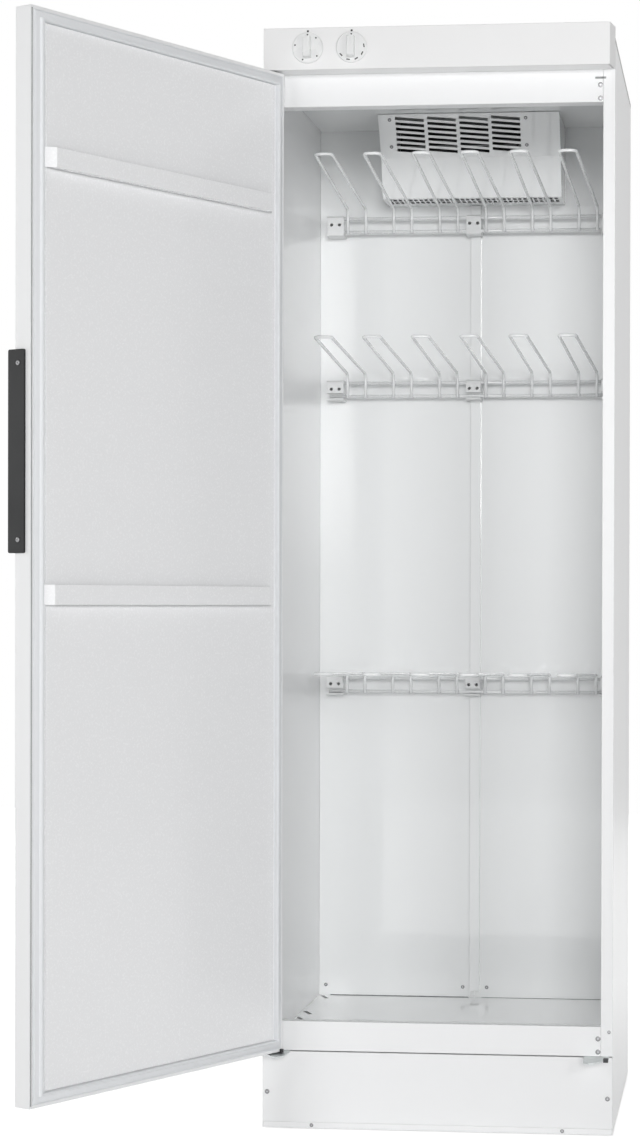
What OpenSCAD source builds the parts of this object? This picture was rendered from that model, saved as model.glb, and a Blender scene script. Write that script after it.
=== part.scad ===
// Free-standing drying cabinet, drawn with its door open as in the photograph.
// X runs to the right, Y into the depth and Z up. The origin lies on the floor,
// under the middle of the cabinet body.

/* [Cabinet] */
// Width of the cabinet
body_w = 595; // [560:5:620]
// Depth of the cabinet body without the door
body_d = 560; // [540:5:580]
// Height of the top sheet above the floor
body_h = 1838; // [1835:1:1845]
// Thickness of the folded sheet
sheet = 1.2; // [1.2:0.1:1.4]
// Width of the front stiles
stile_w = 20; // [18:1:22]
// Clearance between the floor and the sheet work
foot_gap = 3; // [3:1:4]

/* [Front] */
// Top of the plinth panel
plinth_top = 133; // [131:0.5:133]
// Underside of the lower front beam
seam_z = 135; // [135:0.5:136]
// Lower edge of the door opening
opening_low = 184.5; // [180:0.5:190]
// Upper edge of the door opening
opening_high = 1731.5; // [1725:0.5:1735]
// Underside of the control panel
panel_low = 1786; // [1786:0.5:1787]
// Height of the control panel
panel_h = 70; // [66:1:74]
// How far the control panel stands ahead of the body
panel_out = 40; // [38:1:42]

/* [Inside] */
// Height of the drying floor
floor_z = 139; // [136:1:142]
// Height of the ceiling
ceiling_z = 1796; // [1796:1:1798]
// Heights of the upper rod of each rack, from the top down
rack_z = [1623, 1311, 750.5];
// Upward tilt of the prongs of each rack
rack_tilt = [3.8, 3.3, 1.6];
// Number of prongs on each rack
prong_count = 6; // [4:1:6]
// Distance between prongs at the rods
prong_pitch = 88; // [84:1:88]
// Distance between prongs at their tips
tip_pitch = 84.5; // [82:0.5:88]
// Reach of a prong from the rods
prong_reach = 430; // [380:5:435]
// Diameter of the rods of a rack
wire_d = 6; // [5.4:0.1:6]

/* [Door] */
// Width of the door
door_w = 591; // [588:1:592]
// Underside of the door
door_low = 137; // [137:0.5:138]
// Top of the door
door_high = 1783; // [1782:0.5:1783]
// Thickness of the door pan
pan_t = 31; // [30:0.5:32]
// Opening angle of the door in the photograph
door_open = 118.8; // [0:0.1:120]

/* [Controls] */
// Places of the two knobs across the control panel
knob_x = [-215.5, -141.5];
// Height of the knob centres
knob_z = 1822; // [1818:1:1824]
// Diameter of the knob skirt
knob_d = 52; // [46:1:54]

/* [Hidden] */

half_w = body_w / 2;
front_y = -body_d / 2;
back_y = body_d / 2;
panel_y = front_y - panel_out;      // front face of the control panel
lip_x = half_w - stile_w;           // inner edge of a stile
wall_x = half_w - sheet;            // inner face of a side wall
wall_y = back_y - 2 * sheet;        // inner face of the back wall
fit_gap = 0.2;                      // gap between neighbouring sheets
inner_x = wall_x - fit_gap;         // half width of what lies between the side walls
inner_y = wall_y - fit_gap;
joint_x = 4.5;                      // where the two back panels meet

// Door, in its closed place
gasket_t = 8.4;
pan_in = front_y - 9;               // inner edge of the door pan
pan_out = pan_in - pan_t;           // outer face of the door
pivot = [-half_w + 16.5, front_y - 26];
pin_r = 4;

// Racks
rod_y = back_y - 35;
rod_gap = 25.2;
wire_r = wire_d / 2;
bracket_x = [-261, 3.2, 261];
bracket_w = [32, 28, 32];
bracket_screw = 7.5;
bracket_front = rod_y - 7;

// Heater casing, as corners of its side view
casing_x = [-162, 174];
casing_side = [[back_y - 165, ceiling_z - 1], [back_y - 120, ceiling_z - 74],
               [back_y - 98, ceiling_z - 146], [inner_y, ceiling_z - 146]];
fan_axis = [back_y - 75, ceiling_z - 44];
spigot_y = back_y - 90;

white = [0.95, 0.955, 0.96];
inner_white = [0.88, 0.89, 0.9];
zinc = [0.72, 0.74, 0.75];
black = [0.1, 0.1, 0.1];
wire_white = [0.93, 0.95, 0.96];
steel = [0.6, 0.61, 0.62];

// ---- folded sheet ----

// Direction of one run of a path, and its left-hand normal
function run(p, i) = (p[i + 1] - p[i]) / norm(p[i + 1] - p[i]);
function left(d) = [-d[1], d[0]];
// Where the far face of a sheet of thickness t lies at point i of the path
function far_face(p, i, t) =
    i == 0 ? p[0] + left(run(p, 0)) * t :
    i == len(p) - 1 ? p[i] + left(run(p, i - 1)) * t :
    let (a = left(run(p, i - 1)), b = left(run(p, i)))
    p[i] + (a + b) * t / (1 + a * b);
// Outline of a sheet folded along a path, with its thickness on the path's left
module fold(p, t = sheet) {
    polygon(concat(p, [for (i = [len(p) - 1:-1:0]) far_face(p, i, t)]));
}
// Extrudes a Y-Z outline along X
module along_x(x0, x1) {
    translate([x0, 0, 0]) rotate([90, 0, 90]) linear_extrude(x1 - x0) children();
}
module upright(z0, z1) {
    translate([0, 0, z0]) linear_extrude(z1 - z0) children();
}
module both_sides() {
    children();
    mirror([1, 0, 0]) children();
}
// A box between two corners
module box(a, b) {
    translate(a) cube(b - a);
}
// A round bar along Y from y0 to y1
module bar_y(x, z, r, y0, y1) {
    translate([x, y0, z]) rotate([-90, 0, 0]) cylinder(r = r, h = y1 - y0, $fn = 48);
}
// A round bar along X from x0 to x1
module bar_x(y, z, r, x0, x1) {
    translate([x0, y, z]) rotate([0, 90, 0]) cylinder(r = r, h = x1 - x0, $fn = 48);
}

// ---- bent wire and tube ----

function unit(v) = v / norm(v);
// Points of a path whose corners are rounded, each with its own radius, in a few steps
function corner(a, b, c, r, steps) =
    let (u = unit(a - b), v = unit(c - b),
         bend = 180 - acos(u * v),
         reach = r * tan(bend / 2),
         mid = b + unit(u + v) * r / cos(bend / 2),
         start = b + u * reach - mid)
    [for (k = [0:steps]) let (w = bend * k / steps) mid + start * cos(w) - u * r * sin(w)];
function rounded(p, r, steps) = [
    for (i = [0:len(p) - 1])
        if (i == 0 || i == len(p) - 1) p[i]
        else each corner(p[i - 1], p[i], p[i + 1], r[i], steps)
];
// Frames carried along the path without twist
function carried(v, t) = unit(v - t * (v * t));
function tangents(p) = [
    for (i = [0:len(p) - 1])
        unit(i == 0 ? p[1] - p[0] : i == len(p) - 1 ? p[i] - p[i - 1] :
             unit(p[i + 1] - p[i]) + unit(p[i] - p[i - 1]))
];
function normals(t, first, i = 0, acc = []) =
    i == len(t) ? acc :
    normals(t, first, i + 1, concat(acc, [carried(i == 0 ? first : acc[i - 1], t[i])]));
// A tube of radius r along a path, as one closed mesh
module tube(p, r, first, sides = 8) {
    t = tangents(p);
    n = normals(t, first);
    ring = 180 / sides;
    points = [for (i = [0:len(p) - 1], k = [0:sides - 1])
        let (a = ring + 360 * k / sides)
        p[i] + n[i] * r * cos(a) + cross(t[i], n[i]) * r * sin(a)];
    skin = [for (i = [0:len(p) - 2], k = [0:sides - 1])
        let (a = i * sides + k, b = i * sides + (k + 1) % sides)
        [a, a + sides, b + sides, b]];
    ends = [[for (k = [0:sides - 1]) k],
            [for (k = [sides - 1:-1:0]) (len(p) - 1) * sides + k]];
    polyhedron(points, concat(skin, ends), convexity = 6);
}

// ---- cabinet shell ----

// Right-hand wall: one sheet folded into the front stile and the rear flange
module wall_sheet() {
    upright(seam_z, body_h)
        fold([[lip_x, front_y + 18], [lip_x, front_y], [half_w, front_y],
              [half_w, back_y], [half_w - 17.5, back_y]]);
    upright(foot_gap, seam_z)
        fold([[half_w, front_y + sheet + fit_gap], [half_w, back_y], [half_w - 17.5, back_y]]);
    box([half_w - 22, front_y + 25, foot_gap], [half_w, back_y, foot_gap + sheet]);
}
module side_panel() {
    difference() {
        wall_sheet();
        box([lip_x - 1, front_y + sheet, body_h - 38], [lip_x + sheet + 1, front_y + 19, body_h + 1]);
        bar_y(half_w - 6.3, 176, 2.1, front_y - 1, front_y + 3);
    }
}
module side_panel_right() color(white) side_panel();
module side_panel_left() color(white) mirror([1, 0, 0]) side_panel();

// Part of the back wall
back_screw_x = [-283, joint_x - 23, joint_x + 23, 283];
back_screw_z = floor_z + 21;
module back_panel(x0, x1) {
    difference() {
        box([x0, wall_y, foot_gap + 2 * sheet], [x1, wall_y + sheet, body_h - 1.6]);
        for (x = back_screw_x) bar_y(x, back_screw_z, 2.1, wall_y - 5, back_y);
    }
}
module back_panel_left() color(inner_white) back_panel(-inner_x, joint_x - fit_gap);
module back_panel_right() color(inner_white) back_panel(joint_x, inner_x);

// Channel over the joint of the two back panels, notched at its foot
rail_half = 9.7;
rail_deep = 9.4;
module centre_rail() color(inner_white)
    difference() {
        translate([joint_x, 0, 0]) upright(floor_z + sheet + 0.3, casing_side[2][1] - 0.4)
            fold([[rail_half, wall_y], [rail_half, wall_y - rail_deep],
                  [-rail_half, wall_y - rail_deep], [-rail_half, wall_y]], -sheet);
        box([joint_x - rail_half + 2, wall_y - rail_deep - 1, floor_z],
            [joint_x + rail_half + 1, wall_y + 1, floor_z + 14.5]);
    }

// Tray with its rim turned up or down around a flat sheet
module tray(x, y0, y1, z, rim) {
    difference() {
        box([-x, y0, min(z, z + rim)], [x, y1, max(z + sheet, z + rim)]);
        box([-x + sheet, y0 + sheet, rim > 0 ? z + sheet : z + rim - 1],
            [x - sheet, y1 - sheet, rim > 0 ? z + rim + 1 : z]);
    }
}
module top_panel() color(white)
    difference() {
        tray(inner_x, front_y + sheet + fit_gap, inner_y, body_h - sheet, -18);
        translate([0, spigot_y, body_h - 3]) cylinder(r = 61, h = 5, $fn = 96);
        translate([250, back_y - 45, body_h - 3]) cylinder(r = 7.1, h = 5, $fn = 48);
    }
module ceiling_panel() color(inner_white)
    difference() {
        tray(inner_x, front_y + 28, inner_y, ceiling_z, 16);
        translate([0, spigot_y, ceiling_z - 1]) cylinder(r = 61, h = 5, $fn = 96);
    }

// Air slots along the side walls, slanted in plan
slot_y = [back_y - 26, for (i = [0:4]) back_y - 208 - 69 * i];
module floor_slot(y) {
    translate([-half_w + 14.9, y, floor_z]) rotate([0, 0, -64])
        cube([40, 7, 4], center = true);
}
module floor_pan() color(inner_white)
    difference() {
        tray(inner_x, front_y + 18 + fit_gap, inner_y, floor_z, -18);
        both_sides() for (y = slot_y) floor_slot(y);
    }

foot_x = 250;
foot_y = back_y - 55;
module at_feet() {
    for (x = [-foot_x, foot_x], y = [-foot_y, foot_y]) translate([x, y, 0]) children();
}
module base_frame() color(zinc)
    difference() {
        union() {
            for (y = [-foot_y, foot_y]) {
                box([-inner_x + 1, y - 20, 18], [inner_x - 1, y + 20, 20]);
                for (e = [-20, 18]) box([-inner_x + 1, y + e, 10], [inner_x - 1, y + e + 2, 20]);
            }
            both_sides() {
                box([inner_x - 27, front_y + 24, 18], [inner_x, inner_y - 2, 20]);
                box([inner_x - 2, front_y + 24, 5], [inner_x, inner_y - 2, 50]);
            }
        }
        at_feet() cylinder(r = 5.15, h = 30, $fn = 48);
    }

// Turned pad, lock nut and stud
module levelling_feet() color(black)
    at_feet() {
        rotate_extrude($fn = 64) polygon([[0, 0], [19, 0], [19, 6], [9, 9.5], [0, 9.5]]);
        cylinder(r = 5, h = 44, $fn = 48);
        translate([0, 0, 12]) cylinder(r = 9, h = 6, $fn = 6);
    }

module plinth_panel() color(white)
    difference() {
        union() {
            along_x(-inner_x, inner_x)
                fold([[front_y + 16, plinth_top], [front_y, plinth_top], [front_y, 14],
                      [front_y + 1.7, 12.3], [front_y + 1.7, foot_gap], [front_y + 16, foot_gap]]);
            box([-half_w + 0.2, front_y, 14], [half_w - 0.2, front_y + sheet, plinth_top]);
        }
        for (x = [-289, 289]) bar_y(x, 64, 2.1, front_y - 1, front_y + 3);
        for (x = [-213, 213]) bar_y(x, 8, 1.8, front_y - 1, front_y + 5);
    }

module screw_holes(x, zs) {
    for (s = [-x, x], z = zs) bar_y(s, z, 2.1, front_y - 1, front_y + 3);
}
beam_screw_x = 272.8;
beam_head_r = 4.3;
low_screw_z = [142.4, 164.5];
high_screw_z = [1737.7, 1760.2];
module beam_bottom() color(white)
    difference() {
        along_x(-lip_x + fit_gap, lip_x - fit_gap)
            fold([[front_y + 18, floor_z + sheet + 0.2], [front_y + 18, opening_low],
                  [front_y, opening_low], [front_y, seam_z], [front_y + 15, seam_z]]);
        screw_holes(beam_screw_x, low_screw_z);
    }
module beam_top() color(white)
    difference() {
        along_x(-lip_x + fit_gap, lip_x - fit_gap)
            fold([[front_y, body_h - 1.5], [front_y, opening_high],
                  [front_y + 30, opening_high], [front_y + 30, ceiling_z - fit_gap]]);
        screw_holes(beam_screw_x, high_screw_z);
        box([263.8, front_y - 1, 1770.4], [lip_x, front_y + 3, 1773.8]);
    }

// ---- control panel ----

module panel_outline(inset, back) {
    y0 = panel_y + inset;
    y1 = front_y - 0.4 + back;
    polygon([[-half_w + 7 + inset, y0], [half_w - 7 - inset, y0],
             [half_w - inset, y1], [-half_w + inset, y1]]);
}
module control_panel() color(white)
    difference() {
        union() {
            difference() {
                upright(panel_low, panel_low + panel_h) panel_outline(0, 0);
                upright(panel_low + 1.5, panel_low + panel_h - 1.5) panel_outline(1.5, 2);
            }
            box([-half_w + 1, front_y - 1.9, body_h], [half_w - 1, front_y - 0.4, panel_low + panel_h - 1]);
        }
        both_sides() upright(panel_low - 1, panel_low + 2)
            polygon([[half_w - 9.7, panel_y + 3], [half_w - 8, panel_y + 3],
                     [half_w - 2, front_y - 3], [half_w - 3.7, front_y - 3]]);
        for (x = knob_x) bar_y(x, knob_z, 6, panel_y - 1, panel_y + 4);
        translate([pivot[0], pivot[1], panel_low - 1]) cylinder(r = 11, h = 4, $fn = 48);
    }
module control_bracket() color(zinc)
    difference() {
        upright(1795, 1836)
            fold([[-95, front_y - 0.2], [-95, panel_y + 8],
                  [-250, panel_y + 8], [-250, front_y - 0.2]], 1.5);
        for (x = knob_x) bar_y(x, knob_z, 6, panel_y, panel_y + 12);
    }
module drive_body(x) {
    difference() {
        union() {
            box([x - 23, panel_y + 8, knob_z - 23], [x + 23, front_y - 4, knob_z + 23]);
            bar_y(x, knob_z, 5.5, panel_y + 6.5, panel_y + 9.6);
        }
        bar_y(x, knob_z, 3.06, panel_y, front_y - 12);
    }
}
// Three flat terminals on the back of a drive, with their lower edge at height z
module terminals(x, z) {
    for (s = [-12, 0, 12]) box([x + s - 3, front_y - 4, z], [x + s + 3, front_y - 1.5, z + 8]);
}
module timer_unit() color([0.2, 0.2, 0.22]) {
    drive_body(knob_x[1]);
    terminals(knob_x[1], knob_z - 10);
}
module program_switch() color([0.2, 0.2, 0.22]) {
    drive_body(knob_x[0]);
    terminals(knob_x[0], knob_z + 2);
}
// Skirt, grip bar and stem, turned and cut from round stock
module knob(x) {
    y0 = panel_y - 0.6;
    difference() {
        union() {
            translate([x, y0, knob_z]) rotate([90, 0, 0])
                rotate_extrude($fn = 96)
                    polygon([[0, 0], [knob_d / 2 - 0.6, 0], [knob_d / 2, 0.6], [knob_d / 2, 2.4],
                             [knob_d / 2 - 1.6, 4], [0, 4]]);
            intersection() {
                translate([x, y0, knob_z]) rotate([90, 0, 0])
                    rotate_extrude($fn = 96)
                        polygon([[0, 3], [18.4, 3], [17.4, 16], [15.6, 18.5], [0, 18.5]]);
                translate([x, 0, knob_z - 30]) linear_extrude(60)
                    polygon([[-6.9, y0], [-6.1, y0 - 17], [-5, y0 - 18.5],
                             [5, y0 - 18.5], [6.1, y0 - 17], [6.9, y0]]);
            }
            bar_y(x, knob_z, 3, y0 - 1, front_y - 14);
        }
        box([x - 0.7, y0 - 19.5, knob_z + 2], [x + 0.7, y0 - 17.9, knob_z + 17]);
    }
}
module program_knob() color([0.96, 0.96, 0.96]) knob(knob_x[0]);
module timer_knob() color([0.96, 0.96, 0.96]) knob(knob_x[1]);

module door_switch() color(black) {
    box([262, front_y + sheet + 0.2, 1766], [276.5, front_y + 12, 1778]);
    box([266, front_y + 12, 1769], [273, front_y + 16, 1775]);
}

// ---- heater and fan ----

// Slanted slots in columns on the sloping face
grille_from = -130.3;
grille_pitch = 59.4;
slope_len = norm(casing_side[1] - casing_side[0]);
slope_angle = atan2(casing_side[1][1] - casing_side[0][1], casing_side[1][0] - casing_side[0][0]);
// Places children on the sloping face, with Z outwards and Y up the slope
module on_slope(x, s) {
    d = (casing_side[1] - casing_side[0]) / slope_len;
    p = casing_side[0] + d * s;
    translate([x, p[0], p[1]]) rotate([180 + slope_angle, 0, 0]) children();
}
module grille_slots() {
    for (c = [0:3], k = [0:6])
        on_slope(grille_from + 26.6 + c * grille_pitch, 10.4 + 10.26 * k)
            rotate([0, 0, -5.6]) cube([53.2, 5.6, 8], center = true);
}
module bottom_slots() {
    for (i = [0:32], y = [21, 49])
        translate([casing_x[0] + 11 + 9.8 * i, casing_side[2][0] + y, casing_side[2][1]])
            cube([6.4, 20, 5], center = true);
}
casing_screw_x = [-140.7, 111.7];
casing_screw_s = [10.6, 63.1];
module heater_casing() color(inner_white)
    difference() {
        union() {
            along_x(casing_x[0], casing_x[1]) fold(casing_side);
            for (x = [casing_x[0], casing_x[1] - sheet])
                along_x(x, x + sheet)
                    polygon(concat(casing_side, [[inner_y, ceiling_z - 1]]));
        }
        grille_slots();
        bottom_slots();
        for (x = casing_screw_x, s = casing_screw_s)
            on_slope(x, s) translate([0, 0, -4]) cylinder(r = 1.8, h = 8, $fn = 32);
    }

rotor_r = 28;
rotor_x = [-128, 92];
module rotor_place() {
    translate([0, fan_axis[0], fan_axis[1]]) rotate([90, 0, 90]) children();
}
module fan_wheel() color(zinc) {
    rotor_place() {
        for (x = [rotor_x[0], (rotor_x[0] + rotor_x[1]) / 2, rotor_x[1] - 2])
            translate([0, 0, x]) difference() {
                cylinder(r = rotor_r, h = 2, $fn = 72);
                translate([0, 0, -1]) cylinder(r = 4.05, h = 4, $fn = 48);
            }
        for (k = [0:17]) rotate([0, 0, 20 * k])
            translate([rotor_r - 8, 0, rotor_x[0] + 1]) rotate([0, 0, 32])
                translate([0, -0.5, 0]) cube([8.2, 1, rotor_x[1] - rotor_x[0] - 2]);
    }
}
module fan_shaft() color(steel) bar_x(fan_axis[0], fan_axis[1], 4, -150, 140);
// Scroll of the fan: one sheet from the outlet round the rotor up to the ceiling
scroll_r = 33;
module fan_housing() color(zinc) rotor_place()
    translate([0, 0, rotor_x[0] - 3]) linear_extrude(rotor_x[1] - rotor_x[0] + 6)
        fold(concat([scroll_r * [cos(75), 0] - [0, 52]],
                    [for (k = [0:12]) let (a = -75 + 175 * k / 12) scroll_r * [cos(a), sin(a)]],
                    [[scroll_r * cos(100), ceiling_z - fan_axis[1] - fit_gap]]));
module fan_motor() color([0.3, 0.31, 0.33])
    difference() {
        union() {
            bar_x(fan_axis[0], fan_axis[1], 27, 104, 152);
            bar_x(fan_axis[0], fan_axis[1], 10, 98, 158);
            box([112, fan_axis[0] - 16, fan_axis[1] + 20], [146, fan_axis[0] + 16, ceiling_z - 0.4]);
        }
        bar_x(fan_axis[0], fan_axis[1], 4.06, 90, 142);
    }
module fan_bearing() color(steel)
    difference() {
        union() {
            bar_x(fan_axis[0], fan_axis[1], 11, casing_x[0] + sheet, -140);
            box([casing_x[0] + sheet, fan_axis[0] - 20, fan_axis[1] - 6],
                [casing_x[0] + sheet + 3, fan_axis[0] + 20, fan_axis[1] + 6]);
        }
        bar_x(fan_axis[0], fan_axis[1], 4.06, -156, -130);
    }
element_z = ceiling_z - 110;
element_y = [for (k = [0:3]) back_y - 92 + 24 * k];
element_r = 4;
module heating_element() color([0.35, 0.33, 0.32])
    tube(rounded([[150, element_y[0], element_z], [-120, element_y[0], element_z],
                  [-120, element_y[1], element_z], [120, element_y[1], element_z],
                  [120, element_y[2], element_z], [-120, element_y[2], element_z],
                  [-120, element_y[3] - 6, element_z], [150, element_y[3] - 6, element_z]],
                 [for (k = [0:7]) 8.5], 4),
         element_r, [0, 0, 1]);
module element_holders() color(zinc)
    for (x = [-90, 90])
        difference() {
            box([x - 1, element_y[0] - 4, casing_side[2][1] + sheet], [x + 1, back_y - 12, element_z + 4]);
            for (y = [element_y[0], element_y[1], element_y[2], element_y[3] - 6])
                box([x - 2, y - 4.3, element_z - 4.3], [x + 2, y + 4.3, element_z + 5]);
        }
module thermal_cutouts() color(black)
    for (x = [-142, -118]) translate([x, back_y - 40, ceiling_z - 12]) {
        cylinder(r = 8, h = 11.8, $fn = 48);
        for (s = [-4, 4]) translate([s - 0.4, -3, -7]) cube([0.8, 6, 8]);
    }

module exhaust_spigot() color(zinc)
    translate([0, spigot_y, body_h]) rotate_extrude($fn = 120)
        polygon([[60.8, 0], [76, 0], [76, 1.6], [62, 1.6], [62, 45], [60.8, 45]]);

module wall_brackets() color(zinc)
    for (x = [-200, 200])
        difference() {
            union() {
                box([x - 15, back_y - 40, body_h], [x + 15, back_y, body_h + 2]);
                box([x - 15, back_y - 2, body_h], [x + 15, back_y, body_h + 30]);
            }
            bar_y(x, body_h + 18, 3.5, back_y - 5, back_y + 1);
        }
module terminal_block() color([0.9, 0.9, 0.88])
    difference() {
        box([205, back_y - 60, ceiling_z + sheet], [245, back_y - 35, ceiling_z + 20]);
        for (x = [211, 221, 231])
            box([x, back_y - 61, ceiling_z + 10], [x + 8, back_y - 54, ceiling_z + 21]);
    }
module cable_gland() color(black)
    translate([250, back_y - 45, 0])
        difference() {
            union() {
                translate([0, 0, body_h - 6]) cylinder(r = 7, h = 20, $fn = 48);
                translate([0, 0, body_h]) cylinder(r = 10.5, h = 4, $fn = 6);
                translate([0, 0, body_h + 4]) cylinder(r1 = 9.5, r2 = 7.5, h = 13, $fn = 48);
            }
            translate([0, 0, body_h - 10]) cylinder(r = 4.2, h = 40, $fn = 48);
        }

// ---- racks ----

// Moulded bracket with a bore for the upper rod. The lower rod lies in a second bore
// on the fixed rack and in an open notch on the racks that lift.
module rack_bracket(x, w, z, fixed) {
    difference() {
        along_x(x - w / 2, x + w / 2)
            polygon([[wall_y, z - 33], [bracket_front + 2, z - 33], [bracket_front, z - 31],
                     [bracket_front, z + 2], [bracket_front + 3, z + 5], [wall_y, z + 5]]);
        bar_x(rod_y, z, wire_r + 0.06, x - w, x + w);
        if (fixed)
            bar_x(rod_y, z - rod_gap, wire_r + 0.06, x - w, x + w);
        else
            box([x - w, bracket_front - 1, z - rod_gap - wire_r - 0.4],
                [x + w, rod_y + wire_r + 0.4, z - rod_gap + wire_r + 3]);
        box([joint_x - rail_half - 0.3, wall_y - rail_deep - 0.2, z - 40],
            [joint_x + rail_half + 0.3, wall_y + 1, z + 40]);
        for (s = [-bracket_screw, bracket_screw]) {
            bar_y(x + s, z - 11.5, 3, bracket_front - 1, bracket_front + 24);
            bar_y(x + s, z - 11.5, 1.9, bracket_front - 1, wall_y + 1);
        }
    }
}
module rack_brackets(k) {
    for (i = [0:2]) rack_bracket(bracket_x[i], bracket_w[i], rack_z[k], k == 0);
}
module rack_brackets_top() color(white) rack_brackets(0);
module rack_brackets_middle() color(white) rack_brackets(1);
module rack_brackets_low() color(white) rack_brackets(2);

prong_half = 17.2;                  // half width of a hairpin at the rods
tip_half = 14.5;                    // and at its tip
prong_r = 2.75;
leg_y = rod_y - wire_r - prong_r + 0.5;
bend_up = [17, 17, 8];              // how far above the upper rod the wire turns forward
// One hairpin of wire: up in front of both rods, forward, round the tip and back
module prong(x, z, tilt, rise) {
    foot_z = z - rod_gap - 3.4;
    tip_x = x * tip_pitch / prong_pitch;
    tip_y = leg_y - prong_reach * cos(tilt);
    tip_z = z + rise + prong_reach * sin(tilt);
    turn = rise - 2;                // so the bend starts clear of the upper rod
    tube(rounded([[x - prong_half, leg_y, foot_z], [x - prong_half, leg_y, z + rise],
                  [tip_x - tip_half, tip_y, tip_z], [tip_x + tip_half, tip_y, tip_z],
                  [x + prong_half, leg_y, z + rise], [x + prong_half, leg_y, foot_z]],
                 [0, turn, 10, 10, turn, 0], 5),
         prong_r, [0, 1, 0]);
}
module rack(k) {
    bar_x(rod_y, rack_z[k], wire_r, -272, 272);
    bar_x(rod_y, rack_z[k] - rod_gap, wire_r, -272, 272);
    for (i = [0:prong_count - 1])
        prong((i - (prong_count - 1) / 2) * prong_pitch, rack_z[k], rack_tilt[k], bend_up[k]);
}
module rack_top() color(wire_white) rack(0);
module rack_middle() color(wire_white) rack(1);
module rack_low() color(wire_white) rack(2);

// ---- hinges ----

plate_z = seam_z - 0.2;             // top of a lower hinge plate
plate_t = 1.8;
// Right-hand plate, whose pointed front stands out under the door
module lower_plate() {
    upright(plate_z - plate_t, plate_z)
        polygon([[half_w - 49.5, front_y + 14], [half_w - 46, front_y - 54], [half_w - 36, front_y - 64],
                 [half_w - 27, front_y - 60], [half_w - 13, front_y - 36], [half_w - 5.5, front_y - 30],
                 [half_w - 5.5, front_y + 14]]);
}
plug_low = [half_w - 14.1, front_y - 31];
plug_high = [half_w - 6.1, front_y - 21.3];
module hinge_plate_lower() color(zinc)
    difference() {
        mirror([1, 0, 0]) lower_plate();
        translate([pivot[0], pivot[1], plate_z - 5]) cylinder(r = pin_r, h = 8, $fn = 48);
    }
module hinge_plate_spare() color(zinc)
    difference() {
        lower_plate();
        box([plug_low[0], plug_low[1] - 9, plate_z - 5], [half_w, plug_high[1], plate_z + 5]);
    }
module hinge_plate_upper() color(zinc)
    difference() {
        union() {
            box([-half_w + 9, pivot[1] - 10, panel_low + 1.7], [-half_w + 42, front_y, panel_low + 3.7]);
            box([-half_w + 21, front_y - 2, panel_low + 1.7], [-half_w + 42, front_y, panel_low + 40]);
        }
        translate([pivot[0], pivot[1], panel_low - 1]) cylinder(r = pin_r, h = 8, $fn = 48);
    }
module hinge_pins() color(steel) {
    translate([pivot[0], pivot[1], plate_z - plate_t]) cylinder(r = pin_r, h = 17, $fn = 48);
    translate([pivot[0], pivot[1], plate_z - plate_t - 3]) cylinder(r = 6, h = 3, $fn = 48);
    translate([pivot[0], pivot[1], door_high - 14])
        cylinder(r = pin_r, h = panel_low + 3.7 - door_high + 14, $fn = 48);
    translate([pivot[0], pivot[1], panel_low + 3.7]) cylinder(r = 6, h = 3, $fn = 48);
}
// Plug in the corner of the unused plate
module hinge_plug() color(black)
    box([plug_low[0], plug_low[1], plate_z - 4.5], [plug_high[0], plug_high[1], door_low - 0.3]);

// ---- door, drawn closed and swung open ----

module swung() {
    translate([pivot[0], pivot[1], 0]) rotate([0, 0, -door_open])
        translate([-pivot[0], -pivot[1], 0]) children();
}
door_x = [-half_w + 2, -half_w + 2 + door_w];
lip = 5;
pan_sheet = 1;
module pivot_hole(r) {
    translate([pivot[0], pivot[1], door_low - 1]) cylinder(r = r, h = 4, $fn = 48);
    translate([pivot[0], pivot[1], door_high - 3]) cylinder(r = r, h = 4, $fn = 48);
}
module door_outer_panel() color(white) swung()
    difference() {
        box([door_x[0], pan_out, door_low], [door_x[1], pan_in, door_high]);
        box([door_x[0] + pan_sheet, pan_out + pan_sheet, door_low + pan_sheet],
            [door_x[1] - pan_sheet, pan_in - pan_sheet, door_high - pan_sheet]);
        box([door_x[0] + lip, pan_in - 3, door_low + lip], [door_x[1] - lip, pan_in + 1, door_high - lip]);
        pivot_hole(8.1);
        for (z = handle_screw_z)
            translate([door_x[1] - 4, handle_y, z]) rotate([0, 90, 0]) cylinder(r = 2.1, h = 8, $fn = 32);
    }
field_in = 29;
module door_inner_panel() color(inner_white) swung()
    difference() {
        union() {
            box([door_x[0] + lip + 0.3, pan_in - 1, door_low + lip + 0.3],
                [door_x[1] - lip - 0.3, pan_in - 0.2, door_high - lip - 0.3]);
            box([door_x[0] + field_in, pan_in - 1, door_low + field_in - 6],
                [door_x[1] - field_in - 2, pan_in + 1.8, door_high - field_in + 6]);
        }
        box([door_x[0] + field_in + 1, pan_in - 2, door_low + field_in - 5],
            [door_x[1] - field_in - 3, pan_in + 0.8, door_high - field_in + 5]);
    }
module door_stiffeners() color(zinc) swung()
    for (x = [-130, 110])
        upright(door_low + 40, door_high - 40)
            fold([[x - 35, pan_in - 1.2], [x - 20, pan_in - 1.2], [x - 20, pan_out + 2 * pan_sheet + 0.2],
                  [x + 20, pan_out + 2 * pan_sheet + 0.2], [x + 20, pan_in - 1.2], [x + 35, pan_in - 1.2]],
                 -pan_sheet);
// Soft seal: a flat base in the lip and a hollow bulb that meets the cabinet
module frame_ring(inset, w, y0, y1) {
    difference() {
        box([door_x[0] + inset, y0, door_low + inset], [door_x[1] - inset, y1, door_high - inset]);
        box([door_x[0] + inset + w, y0 - 1, door_low + inset + w],
            [door_x[1] - inset - w, y1 + 1, door_high - inset - w]);
    }
}
module door_gasket() color([0.85, 0.86, 0.87]) swung() {
    frame_ring(lip + 0.5, 16.5, pan_in - 0.2, pan_in + 3);
    frame_ring(lip + 7, 10, pan_in + 2.9, pan_in + gasket_t);
}
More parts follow.
